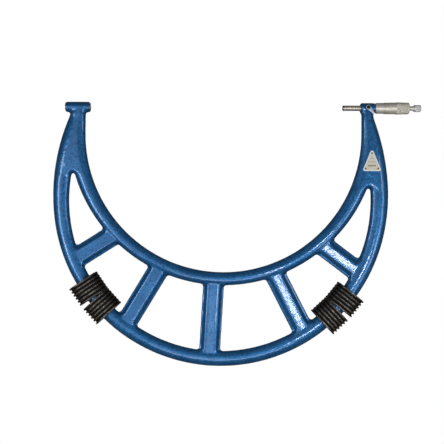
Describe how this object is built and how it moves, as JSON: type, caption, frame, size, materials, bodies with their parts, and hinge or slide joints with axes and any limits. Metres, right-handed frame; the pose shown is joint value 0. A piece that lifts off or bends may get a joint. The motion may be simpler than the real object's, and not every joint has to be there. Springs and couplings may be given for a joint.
{
  "type": "outside micrometer",
  "caption": "Large outside micrometer: cast C-frame with spokes and ribbed grips, empty anvil boss, micrometer head with thimble, ratchet and spindle lock.",
  "frame": {"origin": "middle of the anvil boss's bore, on the measuring axis", "axes": "+X along the measuring axis from the anvil boss to the micrometer head, +Z out of the frame's front face (the one with the nameplate), the frame hangs towards -Y"},
  "size_m": [0.5506, 0.3965, 0.038],
  "materials": {
    "frame_enamel": "glossy hammered blue enamel on cast iron",
    "machined_steel": "turned bare steel",
    "ground_steel": "fine ground hardened steel",
    "satin_chrome": "satin chrome plate",
    "carbide": "lapped hard metal",
    "spring_steel": "drawn wire",
    "plate_aluminium": "pale anodised sheet",
    "bright_fastener": "domed rivet heads",
    "dark_fastener": "blackened steel",
    "bright_lever": "bright nickel plate",
    "brass_pad": "soft brass",
    "grip_plastic": "black ribbed moulded plastic"
  },
  "bodies": {
    "frame": {"frame_casting": "frame_enamel", "anvil_bush": "machined_steel", "nameplate": "plate_aluminium", "nameplate_rivets": "bright_fastener", "inner_sleeve": "machined_steel", "graduated_sleeve": "satin_chrome", "adjusting_nut": "machined_steel", "lock_pad": "brass_pad", "grip_screws": "dark_fastener", "grip_left_upper_front": "grip_plastic", "grip_left_upper_back": "grip_plastic", "grip_left_lower_front": "grip_plastic", "grip_left_lower_back": "grip_plastic", "grip_right_upper_front": "grip_plastic", "grip_right_upper_back": "grip_plastic", "grip_right_lower_front": "grip_plastic", "grip_right_lower_back": "grip_plastic"},
    "spindle": {"spindle": "ground_steel", "spindle_tip": "carbide"},
    "thimble": {"thimble": "satin_chrome", "ratchet_body": "satin_chrome", "ratchet_toothed_disc": "machined_steel"},
    "ratchet": {"ratchet_knob": "satin_chrome", "ratchet_pawl_ring": "machined_steel", "ratchet_spring": "spring_steel", "ratchet_screw": "dark_fastener"},
    "lock": {"lock_lever": "bright_lever", "lock_screw": "dark_fastener"}
  },
  "joints": [
    {"name": "spindle_feed", "type": "slide", "parent": "frame", "child": "spindle", "axis": [1, 0, 0], "range_m": [0, 0.0251]},
    {"name": "thimble_turn", "type": "hinge", "parent": "spindle", "child": "thimble", "pos_m": [0.4732, 0, 0], "axis": [1, 0, 0], "range_deg": [0, 18000]},
    {"name": "ratchet_turn", "type": "hinge", "parent": "thimble", "child": "ratchet", "pos_m": [0.5082, 0, 0], "axis": [1, 0, 0], "continuous": true},
    {"name": "lock_turn", "type": "hinge", "parent": "frame", "child": "lock", "pos_m": [0.4335, 0, 0.008], "axis": [0, 0, 1], "range_deg": [-60, 0]}
  ],
  "couplings": [
    {"joint": "spindle_feed", "follows": "thimble_turn", "m_per_rad": 0.000079577}
  ]
}
